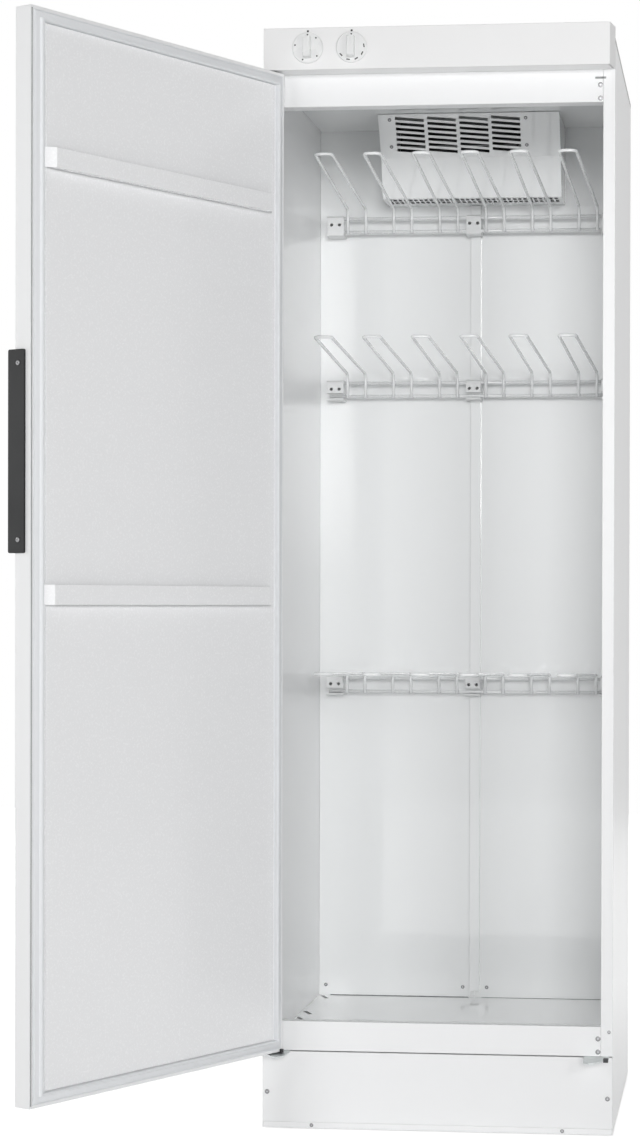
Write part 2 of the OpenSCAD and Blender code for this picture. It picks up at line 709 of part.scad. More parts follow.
// Trough-shaped rail folded from sheet, with its ends bent back to the door
rail_h = 31;
rail_out = pan_in + 15;
module door_rail(x0, x1, z) {
    upright(z - rail_h / 2, z + rail_h / 2)
        fold([[x0, pan_in + 2.7], [x0 + 14, rail_out], [x1 - 14, rail_out], [x1, pan_in + 2.7]], -sheet);
    along_x(x0 + 14, x1 - 14)
        fold([[rail_out, z - rail_h / 2], [rail_out - 9, z - rail_h / 2]], -sheet);
}
module door_rail_upper() color(inner_white) swung() door_rail(door_x[0] + 36, door_x[0] + 565, 1560);
module door_rail_lower() color(inner_white) swung() door_rail(door_x[0] + 36, door_x[0] + 568, 905);

handle_z = [967, 1271.5];
handle_y = pan_in - 22.5;
handle_screw_z = [987, 1251];
// Outline of a strip between two corners, with rounded ends
module strip(a, b, r) {
    translate([a[0] + r, a[1]]) square([b[0] - a[0] - 2 * r, b[1] - a[1]]);
    translate([a[0], a[1] + r]) square([b[0] - a[0], b[1] - a[1] - 2 * r]);
    for (y = [a[0] + r, b[0] - r], z = [a[1] + r, b[1] - r]) translate([y, z]) circle(r = r, $fn = 32);
}
// Flat grip screwed to the free edge, standing out past the face of the door
module door_handle() color(black) swung()
    difference() {
        along_x(door_x[1], door_x[1] + 3.6)
            strip([pan_out - 12, handle_z[0]], [pan_in - 10, handle_z[1]], 3);
        for (z = handle_screw_z)
            translate([door_x[1] - 1, handle_y, z]) rotate([0, 90, 0]) cylinder(r = 2.1, h = 8, $fn = 32);
    }
module handle_screws() color(steel) swung()
    for (z = handle_screw_z) translate([door_x[1], handle_y, z]) rotate([0, 90, 0]) {
        translate([0, 0, -10]) cylinder(r = 2, h = 13.7, $fn = 32);
        translate([0, 0, 3.6]) cylinder(r = 3.8, h = 1.4, $fn = 32);
    }
// Bushes of the door, the lower one with a bumper at the corner of the door
module door_bushes() color([0.15, 0.15, 0.15]) swung()
    difference() {
        union() {
            box([door_x[0] + 2, pan_in - 14, door_low - 1.8], [door_x[0] + 7, pan_in + 4.4, door_low]);
            box([door_x[0] + 2, pan_in, door_low - 1.8], [door_x[0] + 7, pan_in + 4.4, door_low + 4.4]);
            translate([pivot[0], pivot[1], door_low - 1.8]) cylinder(r = 11, h = 1.8, $fn = 48);
            translate([pivot[0], pivot[1], door_low - 1]) cylinder(r = 8, h = 17, $fn = 48);
            translate([pivot[0], pivot[1], door_high]) cylinder(r = 10, h = 2.4, $fn = 48);
            translate([pivot[0], pivot[1], door_high - 16]) cylinder(r = 8, h = 17, $fn = 48);
        }
        translate([pivot[0], pivot[1], door_low - 5]) cylinder(r = pin_r + 0.06, h = 30, $fn = 48);
        translate([pivot[0], pivot[1], door_high - 20]) cylinder(r = pin_r + 0.06, h = 30, $fn = 48);
    }

// ---- screws ----

// A screw whose flat head stands on a face that looks along -Y
module front_screw(x, y, z, head = 3.5, tall = 0.35, long = 9, shank = 2) {
    bar_y(x, z, head, y - tall, y);
    bar_y(x, z, shank, y - tall, y + long);
}
module beam_screws() color(steel) {
    for (s = [-1, 1], z = concat(low_screw_z, high_screw_z))
        front_screw(s * beam_screw_x, front_y, z, beam_head_r);
    for (s = [-1, 1]) front_screw(s * (half_w - 6.3), front_y, 176, 3);
}
module plinth_screws() color(steel) {
    for (x = [-289, 289]) front_screw(x, front_y, 64, 4, 1.6);
    for (x = [-213, 213]) front_screw(x, front_y + 1.7, 8, 3.2, 1.4, 8, 1.7);
}
module casing_screws() color(steel)
    for (x = casing_screw_x, s = casing_screw_s)
        on_slope(x, s) {
            cylinder(r = 3.4, h = 1.4, $fn = 32);
            translate([0, 0, -7]) cylinder(r = 1.7, h = 8, $fn = 32);
        }
module back_screws() color(steel)
    for (x = back_screw_x) front_screw(x, wall_y, back_screw_z, 3.4, 1.4, 1.1);
module bracket_screws() color(steel)
    for (z = rack_z, i = [0:2], s = [-bracket_screw, bracket_screw]) {
        bar_y(bracket_x[i] + s, z - 11.5, 2.9, bracket_front + 21.5, bracket_front + 24);
        bar_y(bracket_x[i] + s, z - 11.5, 1.8, bracket_front + 21.5, i == 1 ? wall_y - rail_deep : wall_y);
    }

side_panel_left();
side_panel_right();
back_panel_left();
back_panel_right();
centre_rail();
top_panel();
ceiling_panel();
floor_pan();
base_frame();
levelling_feet();
plinth_panel();
beam_bottom();
beam_top();
control_panel();
control_bracket();
timer_unit();
program_switch();
program_knob();
timer_knob();
terminal_block();
cable_gland();
heater_casing();
fan_housing();
fan_motor();
fan_bearing();
fan_wheel();
fan_shaft();
heating_element();
element_holders();
thermal_cutouts();
exhaust_spigot();
wall_brackets();
rack_brackets_top();
rack_brackets_middle();
rack_brackets_low();
rack_top();
rack_middle();
rack_low();
hinge_plate_upper();
hinge_plate_lower();
hinge_plate_spare();
hinge_pins();
hinge_plug();
door_switch();
door_outer_panel();
door_inner_panel();
door_stiffeners();
door_gasket();
door_rail_upper();
door_rail_lower();
door_handle();
door_bushes();
handle_screws();
beam_screws();
plinth_screws();
casing_screws();
back_screws();
bracket_screws();
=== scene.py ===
import math

import bmesh
import bpy
from mathutils import Matrix, Vector


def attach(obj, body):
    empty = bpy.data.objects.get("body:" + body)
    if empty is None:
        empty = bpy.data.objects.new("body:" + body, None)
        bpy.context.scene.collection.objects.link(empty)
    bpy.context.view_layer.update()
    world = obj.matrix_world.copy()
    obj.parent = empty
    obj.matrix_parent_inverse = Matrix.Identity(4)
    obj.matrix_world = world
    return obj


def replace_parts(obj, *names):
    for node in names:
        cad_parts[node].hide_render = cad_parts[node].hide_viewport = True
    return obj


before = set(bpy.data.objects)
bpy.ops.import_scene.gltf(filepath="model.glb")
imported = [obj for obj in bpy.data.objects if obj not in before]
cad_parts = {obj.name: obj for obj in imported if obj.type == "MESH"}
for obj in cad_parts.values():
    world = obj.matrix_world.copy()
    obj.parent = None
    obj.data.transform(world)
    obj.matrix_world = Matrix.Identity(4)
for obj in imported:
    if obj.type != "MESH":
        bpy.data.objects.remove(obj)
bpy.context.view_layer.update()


# ---- Outer sheets ----
# The side panels, top, plinth, beams and control panel are folded from steel sheet
# and sprayed with a white enamel. It lies almost smooth, with a faint orange peel,
# and is thinner along the folds.

def node_group(name, inputs, outputs):
    """An empty shader node group with float inputs {name: value} and outputs {name: kind}."""
    group = bpy.data.node_groups.new(name, "ShaderNodeTree")
    for label, value in inputs.items():
        socket = group.interface.new_socket(label, in_out="INPUT", socket_type="NodeSocketFloat")
        socket.default_value = value
    for label, kind in outputs.items():
        group.interface.new_socket(label, in_out="OUTPUT", socket_type=kind)
    return group, group.nodes.new("NodeGroupInput"), group.nodes.new("NodeGroupOutput")


def math_node(tree, operation, a, b=None, clamp=False):
    """A Math node whose inputs are sockets or plain numbers; returns its output."""
    node = tree.nodes.new("ShaderNodeMath")
    node.operation = operation
    node.use_clamp = clamp
    for socket, value in zip(node.inputs, (a, b)):
        if value is None:
            continue
        if isinstance(value, (int, float)):
            socket.default_value = value
        else:
            tree.links.new(value, socket)
    return node.outputs[0]


def noise_node(tree, scale, detail=3.0, stretch=None):
    """Noise over the object's own coordinates, scale in waves per metre."""
    place = tree.nodes.new("ShaderNodeTexCoord")
    noise = tree.nodes.new("ShaderNodeTexNoise")
    noise.inputs["Detail"].default_value = detail
    source = place.outputs["Object"]
    if stretch:
        mapping = tree.nodes.new("ShaderNodeMapping")
        mapping.inputs["Scale"].default_value = stretch
        tree.links.new(source, mapping.inputs["Vector"])
        source = mapping.outputs["Vector"]
    tree.links.new(source, noise.inputs["Vector"])
    if isinstance(scale, (int, float)):
        noise.inputs["Scale"].default_value = scale
    else:
        tree.links.new(scale, noise.inputs["Scale"])
    return noise.outputs["Fac"]


def sprayed_skin_group():
    """Orange peel of sprayed enamel, as a height, and the cloudiness of its gloss."""
    group, given, out = node_group("sprayed_skin", {"Peel Scale": 380.0, "Cloud Scale": 320.0},
                                   {"Height": "NodeSocketFloat", "Cloud": "NodeSocketFloat"})
    group.links.new(noise_node(group, given.outputs["Peel Scale"], 2.0), out.inputs["Height"])
    group.links.new(noise_node(group, given.outputs["Cloud Scale"], 3.0), out.inputs["Cloud"])
    return group


def worn_edge_group():
    """Mask of edges and folds, broken up by noise, where a finish is thin or rubbed."""
    group, given, out = node_group("worn_edge", {"Reach": 0.0015, "Break Up": 220.0},
                                   {"Mask": "NodeSocketFloat", "Normal": "NodeSocketVector"})
    bevel = group.nodes.new("ShaderNodeBevel")
    bevel.samples = 6
    group.links.new(given.outputs["Reach"], bevel.inputs["Radius"])
    geometry = group.nodes.new("ShaderNodeNewGeometry")
    dot = group.nodes.new("ShaderNodeVectorMath")
    dot.operation = "DOT_PRODUCT"
    group.links.new(bevel.outputs["Normal"], dot.inputs[0])
    group.links.new(geometry.outputs["Normal"], dot.inputs[1])
    turned_away = math_node(group, "SUBTRACT", 1.0, dot.outputs["Value"])
    edge = math_node(group, "MULTIPLY", turned_away, 6.0, True)
    broken = math_node(group, "MULTIPLY", edge, noise_node(group, given.outputs["Break Up"], 3.0))
    group.links.new(broken, out.inputs["Mask"])
    group.links.new(bevel.outputs["Normal"], out.inputs["Normal"])
    return group


SPRAYED_SKIN = sprayed_skin_group()
WORN_EDGE = worn_edge_group()


def placed(tree, group, **values):
    node = tree.nodes.new("ShaderNodeGroup")
    node.node_tree = group
    for label, value in values.items():
        node.inputs[label.replace("_", " ")].default_value = value
    return node


def blend_colour(tree, mask, first, second):
    """Mixes two plain colours by a mask and returns the colour socket."""
    mix = tree.nodes.new("ShaderNodeMix")
    mix.data_type = "RGBA"
    tree.links.new(mask, mix.inputs["Factor"])
    mix.inputs["A"].default_value = (*first, 1)
    if isinstance(second, tuple):
        mix.inputs["B"].default_value = (*second, 1)
    else:
        tree.links.new(second, mix.inputs["B"])
    return mix.outputs["Result"]


SHADE = 0.8


def shaded(tree, colour, amount):
    """The colour with its light taken down by the amount, a socket between 0 and 1."""
    return blend_colour(tree, amount, colour, tuple(c * SHADE for c in colour))


def spread(tree, value, low, high):
    """A value such as noise, spread evenly between low and high."""
    node = tree.nodes.new("ShaderNodeMapRange")
    node.interpolation_type = "SMOOTHSTEP"
    tree.links.new(value, node.inputs["Value"])
    node.inputs["From Min"].default_value = 0.2
    node.inputs["From Max"].default_value = 0.8
    node.inputs["To Min"].default_value = low
    node.inputs["To Max"].default_value = high
    return node.outputs["Result"]


def bare_material(name):
    material = bpy.data.materials.new(name)
    material.use_nodes = True
    tree = material.node_tree
    return material, tree, tree.nodes["Principled BSDF"]


def bumped(tree, shader, height, strength, distance, normal=None):
    bump = tree.nodes.new("ShaderNodeBump")
    bump.inputs["Strength"].default_value = strength
    bump.inputs["Distance"].default_value = distance
    tree.links.new(height, bump.inputs["Height"])
    if normal is not None:
        tree.links.new(normal, bump.inputs["Normal"])
    tree.links.new(bump.outputs["Normal"], shader.inputs["Normal"])


CLOUD_SHARE = 0.02
PEEL_HEIGHT = 0.0002


def enamel(name, colour, gloss, peel=0.12, coat=0.0, sheen=0.08, edge=0.5):
    """Sprayed enamel: gloss is its lowest and highest roughness, peel the strength of its skin."""
    material, tree, shader = bare_material(name)
    skin = placed(tree, SPRAYED_SKIN)
    worn = placed(tree, WORN_EDGE)
    tone = math_node(tree, "ADD", math_node(tree, "MULTIPLY", worn.outputs["Mask"], edge),
                     math_node(tree, "MULTIPLY", skin.outputs["Cloud"], CLOUD_SHARE), True)
    tree.links.new(shaded(tree, colour, tone), shader.inputs["Base Color"])
    tree.links.new(spread(tree, skin.outputs["Cloud"], *gloss), shader.inputs["Roughness"])
    bumped(tree, shader, skin.outputs["Height"], peel, PEEL_HEIGHT, worn.outputs["Normal"])
    shader.inputs["Coat Weight"].default_value = coat
    shader.inputs["Coat Roughness"].default_value = sheen
    return material


def dress(material, *nodes):
    """Gives the CAD nodes this material."""
    for node in nodes:
        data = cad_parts[node].data
        data.materials.clear()
        data.materials.append(material)


outer_enamel = enamel("outer_enamel", (0.9, 0.905, 0.91), (0.28, 0.31))
dress(outer_enamel, "top_panel", "plinth_panel", "beam_bottom", "beam_top")

panel_enamel = enamel("panel_enamel", (0.91, 0.91, 0.91), (0.32, 0.36), peel=0.06)
dress(panel_enamel, "control_panel")


# ---- Side walls ----
# The two side walls are folded sheets with the same enamel. Along their upper edge a
# thin dark band is painted shade, the shadow of a gap under the top panel, drawn only as a band of
# colour here. What makes it isn't known, so it is only a band of colour here.

SEAM_SHADE_Z = 1.829
SEAM_SHADE_GREY = (0.16, 0.165, 0.17)
side_enamel = enamel("side_enamel", (0.9, 0.905, 0.91), (0.28, 0.31))
side_tree = side_enamel.node_tree
side_colour = side_tree.nodes["Principled BSDF"].inputs["Base Color"]
side_place = side_tree.nodes.new("ShaderNodeTexCoord")
side_axes = side_tree.nodes.new("ShaderNodeSeparateXYZ")
side_tree.links.new(side_place.outputs["Object"], side_axes.inputs[0])
# Below this height the enamel shows; above it, the painted shade of the seam.
below_seam_shade = math_node(side_tree, "LESS_THAN", side_axes.outputs["Z"], SEAM_SHADE_Z)
enamel_colour = side_colour.links[0].from_socket
side_tree.links.new(blend_colour(side_tree, below_seam_shade, SEAM_SHADE_GREY, enamel_colour), side_colour)
dress(side_enamel, "side_panel_left", "side_panel_right")


# ---- Drying chamber ----
# Walls, ceiling, floor and rail are thinner sheets in the same white, but with a
# glossier enamel that wipes clean and mirrors the heater casing and the racks.

chamber_enamel = enamel("chamber_enamel", (0.92, 0.933, 0.935), (0.3, 0.33),
                        peel=0.05, coat=1.0, sheen=0.05)
dress(chamber_enamel, "back_panel_left", "back_panel_right", "centre_rail", "ceiling_panel",
      "floor_pan", "heater_casing")


# ---- Zinc-plated sheet ----
# The frame under the floor, the brackets, the hinge plates, the door's stiffeners and
# the exhaust spigot are bare galvanised sheet, with the crystal pattern of the zinc.

def spangle_group():
    """Zinc crystals: a tone per crystal and the faint relief between them."""
    group, given, out = node_group("zinc_spangle", {"Crystals": 130.0},
                                   {"Tone": "NodeSocketFloat", "Height": "NodeSocketFloat"})
    place = group.nodes.new("ShaderNodeTexCoord")
    cells = group.nodes.new("ShaderNodeTexVoronoi")
    group.links.new(place.outputs["Object"], cells.inputs["Vector"])
    group.links.new(given.outputs["Crystals"], cells.inputs["Scale"])
    split = group.nodes.new("ShaderNodeSeparateColor")
    group.links.new(cells.outputs["Color"], split.inputs["Color"])
    group.links.new(split.outputs["Red"], out.inputs["Tone"])
    group.links.new(cells.outputs["Distance"], out.inputs["Height"])
    return group


def zinc_sheet(name, dark, light):
    material, tree, shader = bare_material(name)
    spangle = placed(tree, spangle_group())
    tone = spangle.outputs["Tone"]
    tree.links.new(blend_colour(tree, tone, dark, light), shader.inputs["Base Color"])
    tree.links.new(spread(tree, tone, 0.32, 0.5), shader.inputs["Roughness"])
    shader.inputs["Metallic"].default_value = 0.9
    bumped(tree, shader, spangle.outputs["Height"], 0.1, 0.0003)
    return material


dress(zinc_sheet("zinc_sheet", (0.46, 0.485, 0.485), (0.62, 0.645, 0.645)),
      "base_frame", "control_bracket", "exhaust_spigot", "wall_brackets", "hinge_plate_upper",
      "hinge_plate_lower", "hinge_plate_spare", "door_stiffeners")


# ---- Shafts and pins ----
# The fan shaft with its bearing and the hinge pins are turned from bright steel,
# with the fine rings that the tool leaves.

def turned_steel(name, colour):
    material, tree, shader = bare_material(name)
    rings = noise_node(tree, 90.0, 2.0, (30.0, 1.0, 30.0))
    groove = tuple(c * SHADE for c in colour)
    tree.links.new(blend_colour(tree, rings, groove, colour), shader.inputs["Base Color"])
    tree.links.new(spread(tree, rings, 0.25, 0.42), shader.inputs["Roughness"])
    shader.inputs["Metallic"].default_value = 1.0
    bumped(tree, shader, rings, 0.1, 0.0001)
    return material


bright_steel = turned_steel("bright_steel", (0.62, 0.63, 0.64))
dress(bright_steel, "fan_shaft", "fan_bearing", "hinge_pins")


# ---- Screws ----
# Cold-headed steel screws with a low round head, greyed by their plating, and a
# cross recess in bright steel, a painted highlight for the glint in the middle of the head. They
# hold sheet to sheet.

def mesh_piece(name, mesh, materials, body):
    """Makes the mesh an object that rides on a body and takes its finish from a slot."""
    piece = bpy.data.objects.new(name, mesh)
    bpy.context.scene.collection.objects.link(piece)
    for material in materials:
        mesh.materials.append(material)
    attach(piece, body)
    return piece


def finished(work, name):
    work.normal_update()
    mesh = bpy.data.meshes.new(name)
    work.to_mesh(mesh)
    work.free()
    return mesh


def add_screw(work, foot, outwards, head, tall, shank, long):
    """Adds a screw whose head stands on the point foot and looks along outwards.

    The cross recess ends above that point.
    """
    turn = Vector(outwards).to_track_quat("Z", "Y").to_matrix().to_4x4()
    place = Matrix.Translation(foot) @ turn

    def ring(radius, height, corners=24):
        return [work.verts.new(place @ Vector((radius * math.cos(math.tau * k / corners),
                                               radius * math.sin(math.tau * k / corners), height)))
                for k in range(corners)]

    def walls(low, high, finish=0):
        for k in range(len(low)):
            after = k - len(low) + 1
            face = work.faces.new((low[k], low[after], high[after], high[k]))
            face.smooth, face.material_index = finish == 0, finish

    def cross(arm, height):
        half = arm * 0.3
        corners = [(half, half), (half, arm), (-half, arm), (-half, half), (-arm, half),
                   (-arm, -half), (-half, -half), (-half, -arm), (half, -arm), (half, -half),
                   (arm, -half), (arm, half)]
        return [work.verts.new(place @ Vector((x, y, height))) for x, y in corners]

    profile = [(shank, -long), (shank, -0.0001), (head, -0.0001), (head, tall * 0.4),
               (head * 0.88, tall * 0.8), (head * 0.66, tall)]
    rings = [ring(*step) for step in profile]
    for low, high in zip(rings, rings[1:]):
        walls(low, high)
    work.faces.new(rings[0][::-1])
    mouth = cross(head * 0.4, tall)
    floor = cross(head * 0.3, tall - min(head * 0.32, tall * 0.8))
    rim = [work.edges.new((mouth[k - 1], mouth[k])) for k in range(12)]
    rim += [work.edges.get((rings[-1][k - 1], rings[-1][k])) for k in range(len(rings[-1]))]
    bmesh.ops.triangle_fill(work, edges=rim, normal=turn @ Vector((0, 0, 1)))
    # The recess takes the second material, a painted highlight.
    walls(floor, mouth, 1)
    work.faces.new(floor).material_index = 1


plated, plated_tree, plated_shader = bare_material("plated_screw")
plating = noise_node(plated_tree, 700.0, 3.0)
plated_tree.links.new(blend_colour(plated_tree, plating, (0.16, 0.16, 0.165), (0.3, 0.3, 0.305)),
                      plated_shader.inputs["Base Color"])
plated_tree.links.new(spread(plated_tree, plating, 0.3, 0.45), plated_shader.inputs["Roughness"])
plated_shader.inputs["Metallic"].default_value = 1.0
bumped(plated_tree, plated_shader, plating, 0.1, 0.0001)

AHEAD = (0, -1, 0)
BODY_FRONT, BACK_WALL = -0.280, 0.2776
CASING_TOP_Y, CASING_TOP_Z = 0.115, 1.795
SLOPE_Y, SLOPE_Z = 0.524, -0.8517
BRACKET_FACE, BRACKET_DROP = 0.262, 0.0115
MIDDLE_BRACKET = 0.0032
RACK_Z = (1.623, 1.311, 0.7505)

# Each screw: foot of the head, its direction, radius and height of the head, radius
# and length of the shank.
SCREWS = {
    "beam_screws": [((x, BODY_FRONT, z), AHEAD, 0.0043, 0.0004, 0.002, 0.009)
                    for x in (-0.2728, 0.2728) for z in (0.1424, 0.1645, 1.7377, 1.7602)]
                   + [((x, BODY_FRONT, 0.176), AHEAD, 0.003, 0.0004, 0.002, 0.009)
                      for x in (-0.2912, 0.2912)],
    "plinth_screws": [((x, BODY_FRONT, 0.064), AHEAD, 0.004, 0.0016, 0.002, 0.009)
                      for x in (-0.289, 0.289)]
                     + [((x, BODY_FRONT + 0.0017, 0.008), AHEAD, 0.0032, 0.0014, 0.0017, 0.008)
                        for x in (-0.213, 0.213)],
    "casing_screws": [((x, CASING_TOP_Y + s * SLOPE_Y, CASING_TOP_Z + s * SLOPE_Z),
                       (0, SLOPE_Z, -SLOPE_Y), 0.0034, 0.0014, 0.0017, 0.007)
                      for x in (-0.1407, 0.1117) for s in (0.0106, 0.0631)],
    "back_screws": [((x, BACK_WALL, 0.16), AHEAD, 0.0034, 0.0014, 0.002, 0.0011)
                    for x in (-0.283, -0.0185, 0.0275, 0.283)],
    "bracket_screws": [((x + s, BRACKET_FACE, z - BRACKET_DROP), AHEAD, 0.0029, 0.0025, 0.0018,
                        0.0062 if x == MIDDLE_BRACKET else 0.0156)
                       for z in RACK_Z for x in (-0.261, MIDDLE_BRACKET, 0.261)
                       for s in (-0.0075, 0.0075)],
}
for node, screws in SCREWS.items():
    work = bmesh.new()
    for screw in screws:
        add_screw(work, *screw)
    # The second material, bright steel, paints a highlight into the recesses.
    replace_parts(mesh_piece(node + "_turned", finished(work, node), (plated, bright_steel),
                           "cabinet"), node)


# ---- Black and white mouldings ----
# Feet, bushes, plug, gland, cut-outs, timer and program switch are black plastic with a
# fine grain, the door switch is grey, rack brackets and terminal block are white. The
# fan and the element's holders are lacquered black, and the element is dull and dark.

def moulded(name, colour, rough, grain=0.25, grain_scale=1500.0, clouds=0.15):
    material, tree, shader = bare_material(name)
    grains = noise_node(tree, grain_scale, 2.0)
    cloud = noise_node(tree, 14.0, 3.0)
    worn = placed(tree, WORN_EDGE, Reach=0.001)
    tone = math_node(tree, "ADD", math_node(tree, "MULTIPLY", cloud, clouds),
                     math_node(tree, "MULTIPLY", worn.outputs["Mask"], 0.4), True)
    light = tuple(min(1, c * 1.12 + 0.008) for c in colour)
    tree.links.new(blend_colour(tree, tone, colour, light), shader.inputs["Base Color"])
    tree.links.new(spread(tree, cloud, *rough), shader.inputs["Roughness"])
    bumped(tree, shader, grains, grain, 0.00015, worn.outputs["Normal"])
    return material


black_plastic = moulded("black_plastic", (0.018, 0.019, 0.021), (0.38, 0.5))
dress(black_plastic, "levelling_feet", "timer_unit", "program_switch", "cable_gland",
      "thermal_cutouts", "hinge_plug", "door_bushes")
switch_grey = moulded("switch_grey", (0.27, 0.28, 0.28), (0.35, 0.45))
dress(switch_grey, "door_switch")
white_plastic = moulded("white_plastic", (0.84, 0.85, 0.85), (0.26, 0.36), grain=0.08)
dress(white_plastic, "rack_brackets_top", "rack_brackets_middle", "rack_brackets_low",
      "terminal_block")
dress(moulded("fan_lacquer", (0.03, 0.031, 0.033), (0.4, 0.55)),
      "fan_motor", "fan_housing", "fan_wheel", "element_holders")
dress(moulded("element_sheath", (0.09, 0.08, 0.075), (0.4, 0.6), grain_scale=700.0),
      "heating_element")


# ---- Knobs ----
# Two white knobs: a flat skirt with printed marks, and a grip bar moulded in one
# with it. The marks are dots for the programs and wedges for the drying time.

dress(moulded("knob_plastic", (0.86, 0.865, 0.865), (0.22, 0.3), grain=0.05),
      "program_knob", "timer_knob")

KNOBS = {"program_knob": -0.2155, "timer_knob": -0.1415}
KNOB_Z = 1.822
SKIRT_FACE = -0.3246
PANEL_FACE = -0.32
print_black, ink_tree, ink_shader = bare_material("print_black")
ink_grain = noise_node(ink_tree, 900.0)
ink_tree.links.new(blend_colour(ink_tree, ink_grain, (0.02, 0.02, 0.02), (0.05, 0.05, 0.05)),
                   ink_shader.inputs["Base Color"])
ink_shader.inputs["Roughness"].default_value = 0.5


def printed(outlines, face_y, thickness=0.00012):
    """Thin flat marks of ink on a face that looks along -Y: each outline is a list of (x, z)."""
    work = bmesh.new()
    for outline in outlines:
        front = [work.verts.new((x, face_y - thickness, z)) for x, z in outline]
        back = [work.verts.new((x, face_y + 0.0001, z)) for x, z in outline]
        work.faces.new(front)
        for i in range(len(front)):
            j = (i + 1) % len(front)
            work.faces.new((front[j], front[i], back[i], back[j]))
    bmesh.ops.recalc_face_normals(work, faces=work.faces)
    return finished(work, "printed")


def dot(x, z, radius, corners=20):
    turns = [math.tau * k / corners for k in range(corners)]
    return [(x + radius * math.cos(turn), z + radius * math.sin(turn)) for turn in turns]


def wedge(x, z, clock, inner, outer, wide):
    """A dash along the rim at a clockwise angle from the top, thicker at one end."""
    points = []
    for turn, radius in ((-wide, inner), (wide, inner + 0.0006), (wide, outer - 0.0002),
                         (-wide, outer - 0.0009)):
        a = math.radians(clock + turn)
        points.append((x + radius * math.sin(a), z + radius * math.cos(a)))
    return points


def on_dial(x, clock, radius):
    a = math.radians(clock)
    return x + radius * math.sin(a), KNOB_Z + radius * math.cos(a)


DOT_RING, WEDGE_INNER, WEDGE_OUTER = 0.0215, 0.0203, 0.0232
PANEL_DOT_Z, PANEL_DOT_R = KNOB_Z + 0.0282, 0.0019
program_x, timer_x = KNOBS["program_knob"], KNOBS["timer_knob"]
program_dots = [dot(*on_dial(program_x, clock, DOT_RING), 0.0014)
                for clock in (0, 42, 132, 202, 282)]
timer_marks = [dot(*on_dial(timer_x, 0, DOT_RING), 0.0013)]
timer_marks += [wedge(timer_x, KNOB_Z, clock, WEDGE_INNER, WEDGE_OUTER, 8)
                for clock in (85, 121, 156, 194, 233)]
mesh_piece("program_marks", printed(program_dots, SKIRT_FACE), (print_black,), "program_knob")
mesh_piece("timer_marks", printed(timer_marks, SKIRT_FACE), (print_black,), "timer_knob")
panel_dots = [dot(x, PANEL_DOT_Z, PANEL_DOT_R) for x in KNOBS.values()]
mesh_piece("panel_dots", printed(panel_dots, PANEL_FACE), (print_black,), "cabinet")


# ---- Switch slot ----
# The slot that the door switch looks out of runs on from the upper beam into the
# right stile. That end is shallow, so a thin grey plate is drawn there, painted shade for the
# inside of the slot in the switch's grey.

SLOT_X, SLOT_Z, SLOT_PLATE = (0.2775, 0.282), (1.7704, 1.7738), 0.0002
slot_end_shade = [(SLOT_X[0], SLOT_Z[0]), (SLOT_X[1], SLOT_Z[0]), (SLOT_X[1], SLOT_Z[1]),
            (SLOT_X[0], SLOT_Z[1])]
mesh_piece("switch_slot_shade", printed([slot_end_shade], BODY_FRONT, SLOT_PLATE), (switch_grey,),
           "cabinet")


# ---- Wire racks ----
# Each rack is two straight rods with six hairpins of drawn wire, resistance-welded
# where they cross and dipped in white plastic, which runs into a soft fillet there.

ROD_Y, ROD_GAP, ROD_R, ROD_HALF = 0.245, 0.0252, 0.003, 0.272
PRONG_R, PRONG_REACH, TIP_BEND = 0.00275, 0.430, 0.010
PRONG_HALF, TIP_HALF = 0.0172, 0.0145
PRONG_PITCH, TIP_PITCH = 0.088, 0.0845
LEG_Y = ROD_Y - ROD_R - PRONG_R + 0.0005
LEG_END = 0.0034
WELD_BEAD = (0.0037, 0.0028, 0.0036)
# Each rack: its body, the height of its upper rod, the prongs' tilt in degrees, and
# how far their legs rise above that rod.
RACKS = {"rack_top": ("cabinet", RACK_Z[0], 3.8, 0.017),
         "rack_middle": ("hanging_rack_middle", RACK_Z[1], 3.3, 0.017),
         "rack_low": ("hanging_rack_low", RACK_Z[2], 1.6, 0.008)}


def rounded_path(points, radii, steps=6):
    """The path with each inner corner turned into an arc of its own radius."""
    path = [points[0]]
    for before, corner, after, radius in zip(points, points[1:], points[2:], radii):
        u, v = (before - corner).normalized(), (after - corner).normalized()
        bend = math.pi - u.angle(v)
        start = corner + u * radius * math.tan(bend / 2)
        centre = corner + (u + v).normalized() * radius / math.cos(bend / 2)
        arm = start - centre
        for k in range(steps + 1):
            turn = bend * k / steps
            path.append(centre + arm * math.cos(turn) - u * radius * math.sin(turn))
    return path + [points[-1]]


def add_wire(work, path, radius, sides=12):
    """Adds a round wire along the path, closed at both ends."""
    rings = []
    normal = (path[1] - path[0]).orthogonal().normalized()
    for i, point in enumerate(path):
        ahead = path[min(i + 1, len(path) - 1)] - point
        behind = point - path[max(i - 1, 0)]
        along = ahead.normalized() if ahead.length else Vector()
        along += behind.normalized() if behind.length else Vector()
        along.normalize()
        normal = (normal - along * normal.dot(along)).normalized()
        side = along.cross(normal)
        rings.append([work.verts.new(point + (normal * math.cos(math.tau * k / sides)
                                              + side * math.sin(math.tau * k / sides)) * radius)
                      for k in range(sides)])
    for low, high in zip(rings, rings[1:]):
        for k in range(sides):
            after = (k + 1) % sides
            work.faces.new((low[k], low[after], high[after], high[k])).smooth = True
    work.faces.new(rings[0][::-1])
    work.faces.new(rings[-1])


def add_weld(work, centre):
    """A flattened bead where two wires cross."""
    flattened = Matrix.Translation(centre) @ Matrix.Diagonal((*WELD_BEAD, 1))
    bead = bmesh.ops.create_icosphere(work, subdivisions=2, radius=1, matrix=flattened)
    for vert in bead["verts"]:
        for face in vert.link_faces:
            face.smooth = True


